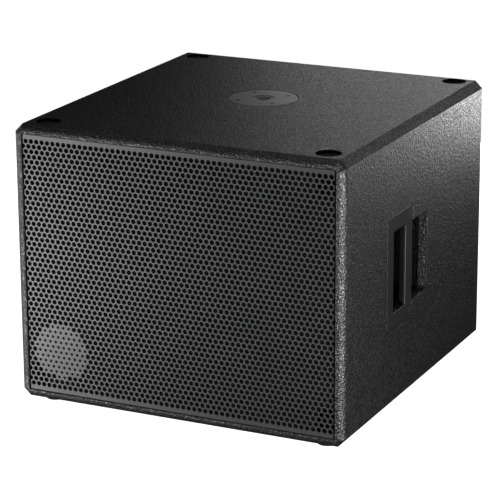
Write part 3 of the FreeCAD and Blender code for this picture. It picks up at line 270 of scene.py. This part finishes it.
def birch_plywood(name):
    """Rotary-cut birch with darker glue lines between its plies."""
    finish = Finish(name, roughness=0.6, specular=0.3)
    grain = finish.noise(1.0, 5, 0.6, finish.stretched((6, 90, 60)))
    pores = finish.noise(1.0, 2, 0.5, finish.stretched((60, 700, 500)))
    plies = finish.waves(115, "Y", 0.4)
    wood = finish.steps(grain, [(0.3, (0.46, 0.30, 0.16)), (0.7, (0.66, 0.49, 0.30))])
    lines = finish.steps(plies, [(0.1, (0.62, 0.55, 0.5)), (0.3, (1.0, 1.0, 1.0))])
    finish.colour(finish.multiply(wood, lines))
    finish.rough(pores, 0.5, 0.75)
    finish.bump(pores, 0.2 * MM, 0.5)
    return finish.material


def moulded(name, base, roughness, grain=1100, depth=0.15):
    """Plastic or rubber with a fine moulded grain."""
    finish = Finish(name, specular=0.4)
    fine = finish.noise(grain, 3, 0.55)
    broad = finish.noise(30, 3)
    finish.colour(finish.steps(broad, [(0.3, shade(base, 0.75)), (0.75, shade(base, 1.25))]))
    finish.rough(fine, roughness - 0.08, roughness + 0.1)
    finish.bump(fine, depth * MM, 0.6)
    return finish.material


def open_foam(name):
    """Black open-cell foam with thin struts between its pits; the pits are darkened as painted
    shade.
    """
    finish = Finish(name, specular=0.05)
    pits = finish.cells(620)
    struts = finish.cells(620, "DISTANCE_TO_EDGE")
    # Painted shade: the colour is lightest on the struts and falls to a quarter of that inside the
    # pits.
    finish.colour(
        finish.steps(struts, [(0.0, (0.006, 0.006, 0.006)), (0.25, (0.0015, 0.0015, 0.0016))])
    )
    finish.rough(struts, 0.7, 0.95)
    finish.bump(pits, 1.2 * MM, 0.9)
    return finish.material


def woven_cloth(name, base, pitch, roughness=0.8, depth=0.25):
    """A plain weave whose threads run across and along."""
    finish = Finish(name, specular=0.25)
    warp = finish.waves(1 / pitch / 2, "X", 0.6)
    weft = finish.waves(1 / pitch / 2, "Z", 0.6)
    weave = finish.maths("MULTIPLY", warp, weft)
    fuzz = finish.noise(1600, 3, 0.7)
    cloth = finish.steps(weave, [(0.1, shade(base, 0.45)), (0.8, shade(base, 1.3))])
    lint = finish.steps(fuzz, [(0.35, (0.8,) * 3), (0.7, (1.15,) * 3)])
    finish.colour(finish.multiply(cloth, lint))
    finish.rough(fuzz, roughness - 0.1, roughness + 0.1)
    finish.bump(weave, depth * MM, 0.8)
    finish.bump(fuzz, 0.1 * MM, 0.5)
    return finish.material


def paper_pulp(name, base):
    """Pressed paper with long fibres under a thin coating."""
    finish = Finish(name, specular=0.35)
    fibres = finish.noise(1.0, 6, 0.7, finish.stretched((420, 130, 420)))
    speck = finish.cells(500)
    finish.colour(finish.steps(fibres, [(0.3, shade(base, 0.5)), (0.7, shade(base, 1.5))]))
    finish.rough(speck, 0.55, 0.85)
    finish.bump(fibres, 0.25 * MM, 0.8)
    return finish.material


def fibre_batt(name):
    """Loose polyester fibre, off white with tangled darker strands."""
    finish = Finish(name, specular=0.15)
    tangle = finish.noise(160, 6, 0.75)
    strands = finish.noise(1.0, 4, 0.8, finish.stretched((60, 300, 900)))
    fluff = finish.steps(tangle, [(0.3, (0.36, 0.36, 0.34)), (0.7, (0.74, 0.74, 0.71))])
    hairs = finish.steps(strands, [(0.35, (0.72,) * 3), (0.65, (1.05,) * 3)])
    finish.colour(finish.multiply(fluff, hairs))
    finish.rough(tangle, 0.85, 1.0)
    finish.bump(tangle, 2.5 * MM, 0.8)
    finish.bump(strands, 0.8 * MM, 0.7)
    return finish.material


def amber_film(name):
    finish = Finish(name, specular=0.5)
    wraps = finish.waves(900, "Y", 0.3)
    finish.colour(finish.steps(wraps, [(0.1, (0.34, 0.17, 0.03)), (0.8, (0.62, 0.36, 0.10))]))
    finish.rough(wraps, 0.2, 0.35)
    finish.bump(wraps, 0.05 * MM, 0.5)
    return finish.material


def wound_copper(name):
    """Enamelled wire laid turn beside turn."""
    finish = Finish(name, metallic=0.9)
    turns = finish.waves(700, "Y")
    finish.colour(finish.steps(turns, [(0.1, (0.20, 0.07, 0.02)), (0.6, (0.72, 0.33, 0.14))]))
    finish.rough(turns, 0.25, 0.4)
    finish.bump(turns, 0.3 * MM, 0.9)
    return finish.material


def ground_ferrite(name):
    finish = Finish(name, specular=0.5)
    grinding = finish.noise(1.0, 4, 0.7, finish.stretched((700, 60, 700)))
    chips = finish.cells(240)
    finish.colour(
        finish.steps(grinding, [(0.3, (0.055, 0.055, 0.06)), (0.7, (0.12, 0.12, 0.125))])
    )
    finish.rough(chips, 0.35, 0.65)
    finish.bump(grinding, 0.15 * MM, 0.6)
    return finish.material


PAINT_BLACK = (0.009, 0.0092, 0.0097)
# Painted shade: the inner, recessed surfaces get this darker black than the cabinet paint.
INNER_PAINTED_SHADE_BLACK = (0.004, 0.004, 0.0042)

MATERIALS = {
    "cabinet_paint": structured_paint("cabinet_paint", PAINT_BLACK),
    # inner_paint is a painted-shade copy of the cabinet paint: darker, with dimmer light specks and
    # less reflection.
    "inner_paint": structured_paint("inner_paint", INNER_PAINTED_SHADE_BLACK, 0.014, 0.05),
    "plywood": birch_plywood("plywood"),
    "grille_steel": punched_coat("grille_steel", (0.032, 0.0325, 0.0335), 0.38),
    "bracket_black": powder_coat("bracket_black", (0.0015,) * 3, 0.9, soft=0, specular=0.02),
    "acoustic_foam": open_foam("acoustic_foam"),
    "black_steel": powder_coat("black_steel", (0.012, 0.012, 0.0125), 0.6),
    "black_screw": plated_metal("black_screw", (0.05, 0.05, 0.052), 0.42, metallic=0.7),
    "handle_casting": powder_coat("handle_casting", (0.009, 0.0093, 0.0098), 0.42, 1900, 0.08, 0.9),
    "flange_steel": powder_coat("flange_steel", (0.20, 0.203, 0.209), 0.42, 1700, 0.08, 0.9),
    "foot_rubber": moulded("foot_rubber", (0.014, 0.014, 0.014), 0.72),
    "zinc_steel": plated_metal("zinc_steel", (0.55, 0.55, 0.56), 0.32),
    "cast_basket": powder_coat("cast_basket", (0.022, 0.022, 0.023), 0.5, 900, 0.2),
    "trim_rubber": moulded("trim_rubber", (0.015, 0.015, 0.015), 0.65),
    "surround_cloth": woven_cloth("surround_cloth", (0.020, 0.020, 0.021), 0.9 * MM, 0.6),
    "cone_paper": paper_pulp("cone_paper", (0.026, 0.026, 0.027)),
    "coil_former": amber_film("coil_former"),
    "copper_wire": wound_copper("copper_wire"),
    "spider_cloth": woven_cloth("spider_cloth", (0.42, 0.27, 0.09), 0.8 * MM, 0.75),
    "ferrite": ground_ferrite("ferrite"),
    "black_plastic": moulded("black_plastic", (0.018, 0.018, 0.019), 0.48),
    "tinned_brass": plated_metal("tinned_brass", (0.72, 0.68, 0.56), 0.28),
    "red_insulation": moulded("red_insulation", (0.42, 0.022, 0.02), 0.42, 700, 0.1),
    "black_insulation": moulded("black_insulation", (0.016, 0.016, 0.017), 0.42, 700, 0.1),
    "fibre_lining": fibre_batt("fibre_lining"),
}


def coat(obj, slot):
    """Gives an object its material, in place of any that it came with."""
    obj.data.materials.clear()
    obj.data.materials.append(MATERIALS[slot])
    return obj


for part in frame["record"]["subparts"]:
    coat(nodes[part["node"]], part["material_slot"])
coat(nodes["grille_brackets"], "bracket_black")


# ---------------------------------------------------------------- soft pieces


def new_mesh(name, points, faces, slot):
    mesh = bpy.data.meshes.new(name)
    mesh.from_pydata([tuple(point) for point in points], [], faces)
    mesh.validate()
    mesh.polygons.foreach_set("use_smooth", [True] * len(mesh.polygons))
    mesh.update()
    obj = bpy.data.objects.new(name, mesh)
    bpy.context.scene.collection.objects.link(obj)
    coat(obj, slot)
    return obj


def soft_pad(name, node, flat_axes, slot, cell, crown, lump, lump_size, body="cabinet",
             windows=(), fill=0.6):
    """A closed soft pad in a CAD node's box, thinner along its edges and round its windows.

    flat_axes are the two axes that the pad lies along. windows are (low, high) pairs in those
    axes, where the pad has holes.
    """
    low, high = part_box(node)
    across = ({0, 1, 2} - set(flat_axes)).pop()
    first, second = flat_axes
    counts = [max(2, round((high[axis] - low[axis]) / cell)) for axis in flat_axes]
    lines = [
        np.linspace(low[axis], high[axis], count + 1) for axis, count in zip(flat_axes, counts)
    ]
    for window_low, window_high in windows:
        for line, edge_low, edge_high in zip(lines, window_low, window_high):
            for edge in (edge_low, edge_high):
                nearest = 1 + np.abs(line[1:-1] - edge).argmin()
                line[nearest] = edge

    def in_window(u, v):
        return any(a[0] < u < b[0] and a[1] < v < b[1] for a, b in windows)

    def edge_distance(u, v):
        gaps = [u - low[first], high[first] - u, v - low[second], high[second] - v]
        nearest = min(gaps)
        for a, b in windows:
            out_u = max(a[0] - u, u - b[0], 0)
            out_v = max(a[1] - v, v - b[1], 0)
            nearest = min(nearest, math.hypot(out_u, out_v))
        return nearest

    middle = (low[across] + high[across]) / 2
    half = (high[across] - low[across]) / 2
    points = []
    for side in (-1, 1):
        for u in lines[0]:
            for v in lines[1]:
                edge = math.exp(-edge_distance(u, v) / (half * 1.2))
                place = Vector((u / lump_size, v / lump_size, side * 3.0 + half))
                dip = lump * (0.5 + 0.5 * noise.noise(place))
                point = [0.0, 0.0, 0.0]
                point[first] = u
                point[second] = v
                point[across] = middle + side * half * (1 - crown * edge) * (1 - dip)
                points.append(point)
    rows = len(lines[0])
    columns = len(lines[1])

    def at(side, i, j):
        return side * rows * columns + i * columns + j

    kept = {
        (i, j)
        for i in range(rows - 1)
        for j in range(columns - 1)
        if not in_window((lines[0][i] + lines[0][i + 1]) / 2, (lines[1][j] + lines[1][j + 1]) / 2)
    }
    faces = []
    for i, j in sorted(kept):
        loop = [(i, j), (i + 1, j), (i + 1, j + 1), (i, j + 1)]
        faces.append([at(0, *corner) for corner in reversed(loop)])
        faces.append([at(1, *corner) for corner in loop])
        neighbours = [(i, j - 1), (i + 1, j), (i, j + 1), (i - 1, j)]
        for index, neighbour in enumerate(neighbours):
            if neighbour not in kept:
                start = loop[index]
                end = loop[(index + 1) % 4]
                faces.append([at(0, *start), at(0, *end), at(1, *end), at(1, *start)])
    used = sorted({index for face in faces for index in face})
    renumber = {old: new for new, old in enumerate(used)}
    obj = new_mesh(
        name,
        [points[index] for index in used],
        [[renumber[index] for index in face] for face in faces],
        slot,
    )
    if (first, second) == (0, 2):
        obj.data.flip_normals()
    rounding = obj.modifiers.new("rounding", "SUBSURF")
    rounding.render_levels = 1
    rounding.levels = 1
    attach(obj, body)
    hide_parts(node)
    return obj


def ring_mesh(name, profile, slot, centre, segments):
    """A closed (radius, forward) profile turned about the driver's axis, which faces -Y."""
    count = len(profile)
    points = []
    for step in range(segments):
        angle = 2 * math.pi * step / segments
        for radius, forward in profile:
            points.append(
                (
                    centre[0] + radius * math.cos(angle),
                    centre[1] - forward,
                    centre[2] + radius * math.sin(angle),
                )
            )
    faces = []
    for step in range(segments):
        following = (step + 1) % segments
        for index in range(count):
            after = (index + 1) % count
            faces.append(
                [
                    step * count + index,
                    step * count + after,
                    following * count + after,
                    following * count + index,
                ]
            )
    return new_mesh(name, points, faces, slot)


def blend_by_radius(obj):
    """Bakes a ring's placement into its mesh."""
    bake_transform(obj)


def thick_profile(line, thickness):
    """A closed profile from a centre line of (radius, forward) points and its thickness."""
    line = np.array(line)
    along = np.gradient(line, axis=0)
    along /= np.linalg.norm(along, axis=1)[:, None]
    offset = np.stack([-along[:, 1], along[:, 0]], axis=1) * thickness / 2
    return [tuple(p) for p in line + offset] + [tuple(p) for p in (line - offset)[::-1]]


surround_low, surround_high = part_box("surround")
driver_axis = (
    (surround_low[0] + surround_high[0]) / 2,
    0.0,
    (surround_low[2] + surround_high[2]) / 2,
)

# The surround: a cloth half roll with a flat landing on the cone's rim and one on the basket's.
ROLL_CENTRE = 155 * MM
ROLL_RADIUS = 11.6 * MM
ROLL_STEPS = 24
CLOTH_THICKNESS = 0.7 * MM
LANDING_LEVEL = 0.4 * MM
CONE_LANDING = (133.4 * MM, 138 * MM)
BASKET_LANDING = (172 * MM, 177.6 * MM)
centre_line = [(radius, LANDING_LEVEL) for radius in CONE_LANDING]
for step in range(ROLL_STEPS + 1):
    angle = math.pi - math.pi * step / ROLL_STEPS
    centre_line.append(
        (
            ROLL_CENTRE + ROLL_RADIUS * math.cos(angle),
            LANDING_LEVEL + ROLL_RADIUS * math.sin(angle),
        )
    )
centre_line += [(radius, LANDING_LEVEL) for radius in BASKET_LANDING]
surround = ring_mesh(
    "surround_roll",
    thick_profile(centre_line, CLOTH_THICKNESS),
    "surround_cloth",
    (driver_axis[0], surround_high[1], driver_axis[2]),
    240,
)
blend_by_radius(surround)
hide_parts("surround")

# The spider: resin-set cloth with a sine of folds that flattens towards its glued edges.
spider_low, spider_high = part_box("spider")
SPIDER_OUTER = 95.6 * MM
SPIDER_INNER = 39.5 * MM
SPIDER_THICKNESS = 0.6 * MM
SPIDER_LEVEL = 1.6 * MM
SPIDER_FOLDS = 8
FOLD_STEPS = 12
FOLD_HEIGHT = 1.15 * MM
FOLDS_INNER = 42.5 * MM
FOLDS_WIDTH = 41 * MM
FOLD_EASING = 10
fold_line = [(SPIDER_INNER, SPIDER_LEVEL)]
for step in range(SPIDER_FOLDS * FOLD_STEPS + 1):
    share = step / (SPIDER_FOLDS * FOLD_STEPS)
    height = math.sin(math.pi * SPIDER_FOLDS * share)
    easing = min(1.0, share * FOLD_EASING, (1 - share) * FOLD_EASING)
    fold_line.append(
        (FOLDS_INNER + share * FOLDS_WIDTH, SPIDER_LEVEL + FOLD_HEIGHT * height * easing)
    )
fold_line.append((SPIDER_OUTER, SPIDER_LEVEL))
spider = ring_mesh(
    "spider_cloth",
    thick_profile(fold_line, SPIDER_THICKNESS),
    "spider_cloth",
    (driver_axis[0], spider_high[1], driver_axis[2]),
    200,
)
blend_by_radius(spider)
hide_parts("spider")

# The foam seal behind the driver's rim, a little thinner than its gap.
seal_low, seal_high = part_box("driver_seal")
SEAL_INNER = 178.3 * MM
SEAL_CLEARANCE = 0.3 * MM
SEAL_SHARE = 0.94
SEAL_STEPS = 8
seal_thick = seal_high[1] - seal_low[1]
seal_outer = seal_high[0] - driver_axis[0] - SEAL_CLEARANCE
seal_profile = thick_profile(
    [
        (SEAL_INNER + (seal_outer - SEAL_INNER) * step / SEAL_STEPS, seal_thick / 2)
        for step in range(SEAL_STEPS + 1)
    ],
    seal_thick * SEAL_SHARE,
)
seal = ring_mesh(
    "driver_seal_foam",
    seal_profile,
    "acoustic_foam",
    (driver_axis[0], seal_high[1], driver_axis[2]),
    192,
)
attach(seal, "cabinet")
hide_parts("driver_seal")


def tube_mesh(name, route, radius, slot):
    """A smooth tube along a route, made into a mesh."""
    curve = bpy.data.curves.new(name, "CURVE")
    curve.dimensions = "3D"
    spline = curve.splines.new("NURBS")
    spline.points.add(len(route) - 1)
    for point, place in zip(spline.points, route):
        point.co = (*place, 1.0)
    spline.order_u = 3
    spline.use_endpoint_u = True
    spline.resolution_u = 12
    curve.bevel_depth = radius
    curve.bevel_resolution = 3
    curve.use_fill_caps = True
    holder = bpy.data.objects.new(name + "_curve", curve)
    bpy.context.scene.collection.objects.link(holder)
    mesh = bpy.data.meshes.new_from_object(holder)
    bpy.data.objects.remove(holder)
    obj = bpy.data.objects.new(name, mesh)
    bpy.context.scene.collection.objects.link(obj)
    mesh.polygons.foreach_set("use_smooth", [True] * len(mesh.polygons))
    coat(obj, slot)
    return obj


# Two braided leads from the terminal block, through a basket window, to the back of the cone.
RIM_BACK_Y = -0.262
LEAD_STATIONS = [(120, -84), (120, -70), (104, -58), (86, -60), (74, -50)]
LEAD_OFFSETS = (-6, 6)
LEAD_RADIUS = 0.95 * MM
for index, offset in enumerate(LEAD_OFFSETS):
    route = [
        (
            driver_axis[0] + radius * MM,
            RIM_BACK_Y - forward * MM,
            driver_axis[2] + offset * MM,
        )
        for radius, forward in LEAD_STATIONS
    ]
    lead = tube_mesh(f"tinsel_lead_{index}", route, LEAD_RADIUS, "copper_wire")
    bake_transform(lead)
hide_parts("tinsel_leads")
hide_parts("tinsel_leads")

# The foam behind the grille, notched round the four brackets.
foam_low, foam_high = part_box("grille_foam")
NOTCH_WIDE = 28 * MM
NOTCH_HALF = 19 * MM
NOTCH_INSET = 18 * MM
NOTCH_PAST = 1 * MM
bracket_low, bracket_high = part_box("grille_brackets")
notches = []
for z in (bracket_low[2] + NOTCH_INSET, bracket_high[2] - NOTCH_INSET):
    for low_x, high_x in (
        (foam_low[0] - NOTCH_PAST, foam_low[0] + NOTCH_WIDE),
        (foam_high[0] - NOTCH_WIDE, foam_high[0] + NOTCH_PAST),
    ):
        notches.append(((low_x, z - NOTCH_HALF), (high_x, z + NOTCH_HALF)))
soft_pad(
    "grille_foam_sheet", "grille_foam", (0, 2), "acoustic_foam",
    cell=6 * MM, crown=0.25, lump=0.12, lump_size=40 * MM, windows=notches, fill=0.8,
)

# The fibre lining on the walls behind the brace, with a window for the connectors.
BATT = {"slot": "fibre_lining", "cell": 11 * MM, "crown": 0.5, "lump": 0.35, "lump_size": 45 * MM}
soft_pad("lining_batt_left", "lining_left", (1, 2), **BATT)
soft_pad("lining_batt_right", "lining_right", (1, 2), **BATT)
soft_pad("lining_batt_top", "lining_top", (0, 1), **BATT)
soft_pad("lining_batt_bottom", "lining_bottom", (0, 1), **BATT)
plate_low, plate_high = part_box("connector_plate")
plate_window = ((plate_low[0], plate_low[2]), (plate_high[0], plate_high[2]))
soft_pad("lining_batt_rear", "lining_rear", (0, 2), windows=[plate_window], **BATT)

# The foam tape under the connector plate.
tape_low, tape_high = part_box("connector_gasket")
TAPE_WIDE = 14 * MM
tape_window = (
    (tape_low[0] + TAPE_WIDE, tape_low[2] + TAPE_WIDE),
    (tape_high[0] - TAPE_WIDE, tape_high[2] - TAPE_WIDE),
)
soft_pad(
    "connector_gasket_tape", "connector_gasket", (0, 2), "acoustic_foam",
    cell=4 * MM, crown=0.1, lump=0.1, lump_size=20 * MM, windows=[tape_window], fill=0.9,
)


# ---------------------------------------------------------------- floor, lights and camera

CABINET_WIDTH = 0.586
FLOOR_REACH = 14
FLOOR_GAP = 0.5 * MM
WHITE = (1, 1, 1, 1)


def plain_floor():
    mesh = bpy.data.meshes.new("floor")
    turns = [(-1, -1), (1, -1), (1, 1), (-1, 1)]
    corners = [(x * FLOOR_REACH, y * FLOOR_REACH, 0) for x, y in turns]
    mesh.from_pydata(corners, [], [[0, 1, 2, 3]])
    floor = bpy.data.objects.new("floor", mesh)
    bpy.context.scene.collection.objects.link(floor)
    floor.location.z = -FLOOR_GAP
    pale = bpy.data.materials.new("pale_floor")
    pale.use_nodes = True
    shader = pale.node_tree.nodes["Principled BSDF"]
    shader.inputs["Base Color"].default_value = (0.9, 0.9, 0.9, 1)
    shader.inputs["Roughness"].default_value = 0.9
    shader.inputs["Specular IOR Level"].default_value = 0.1
    shader.inputs["Emission Color"].default_value = WHITE
    shader.inputs["Emission Strength"].default_value = 1.0
    mesh.materials.append(pale)
    floor.visible_glossy = False
    floor.visible_diffuse = False
    floor.visible_shadow = False


def soft_light(name, location, target, size, power):
    """A plain soft box. The camera doesn't see it."""
    lamp = bpy.data.lights.new(name, "AREA")
    lamp.shape = "RECTANGLE"
    lamp.size, lamp.size_y = size
    lamp.energy = power
    obj = bpy.data.objects.new(name, lamp)
    obj.location = location
    aim = Vector(target) - Vector(location)
    obj.rotation_euler = aim.to_track_quat("-Z", "Y").to_euler()
    obj.visible_camera = False
    bpy.context.scene.collection.objects.link(obj)


def studio_lights():
    """Soft boxes placed where each face mirrors them, and weak ones for the far sides."""
    soft_light("front_left", (-0.95, -1.00, -0.05), (-0.2, -0.3, 0.2), (0.7, 0.6), 15.5)
    soft_light("front_right", (1.05, -0.80, 0.18), (0.29, -0.3, 0.30), (1.1, 0.5), 26)
    soft_light("back_left", (-0.30, 1.30, 0.80), (0.0, 0.2, 0.45), (0.5, 0.3), 0.95)
    soft_light("back_middle", (0.10, 1.30, 0.78), (0.1, 0.2, 0.45), (0.5, 0.3), 0.95)
    soft_light("back_right", (0.70, 1.28, 0.28), (0.3, 0.3, 0.42), (0.32, 0.16), 1.0)
    soft_light("near_right", (0.41, 0.53, 0.39), (0.29, 0.28, 0.42), (0.10, 0.10), 0.55)
    soft_light("overhead", (0.0, 0.0, 2.2), (0, 0, 0), (1.6, 1.6), 6)
    soft_light("rear_fill", (-0.4, 1.60, 0.15), (0, 0.3, 0.24), (1.0, 0.4), 14)
    soft_light("left_fill", (-1.50, 0.35, 0.22), (-0.3, 0.1, 0.24), (1.0, 0.4), 4)
    world = bpy.data.worlds.new("studio")
    bpy.context.scene.world = world
    world.use_nodes = True
    tree = world.node_tree
    dim = tree.nodes["Background"]
    dim.inputs["Color"].default_value = WHITE
    dim.inputs["Strength"].default_value = 0.02
    bright = tree.nodes.new("ShaderNodeBackground")
    bright.inputs["Color"].default_value = WHITE
    bright.inputs["Strength"].default_value = 1.0
    path = tree.nodes.new("ShaderNodeLightPath")
    mix = tree.nodes.new("ShaderNodeMixShader")
    tree.links.new(path.outputs["Is Camera Ray"], mix.inputs["Fac"])
    tree.links.new(dim.outputs["Background"], mix.inputs[1])
    tree.links.new(bright.outputs["Background"], mix.inputs[2])
    tree.links.new(mix.outputs["Shader"], tree.nodes["World Output"].inputs["Surface"])


def photo_camera():
    """A long lens from the front right, a little above."""
    yaw = math.radians(25.61)
    pitch = math.radians(17.01)
    roll = math.radians(-0.31)
    forward = Vector(
        (-math.sin(yaw) * math.cos(pitch), math.cos(yaw) * math.cos(pitch), -math.sin(pitch))
    )
    level = Vector((math.cos(yaw), math.sin(yaw), 0))
    upward = level.cross(forward)
    right = level * math.cos(roll) + upward * math.sin(roll)
    up = upward * math.cos(roll) - level * math.sin(roll)
    lens = bpy.data.cameras.new("camera")
    lens.sensor_width = 36
    lens.lens = 169.6
    lens.clip_end = 100
    camera = bpy.data.objects.new("camera", lens)
    turn = Matrix((right, up, -forward)).transposed()
    camera.rotation_euler = turn.to_euler()
    camera.location = Vector((2.823, -5.931, 2.366)) * CABINET_WIDTH + Vector((0, 0, 8 * MM))
    bpy.context.scene.collection.objects.link(camera)
    bpy.context.scene.camera = camera


plain_floor()
studio_lights()
photo_camera()
bpy.context.scene.view_settings.view_transform = "Standard"
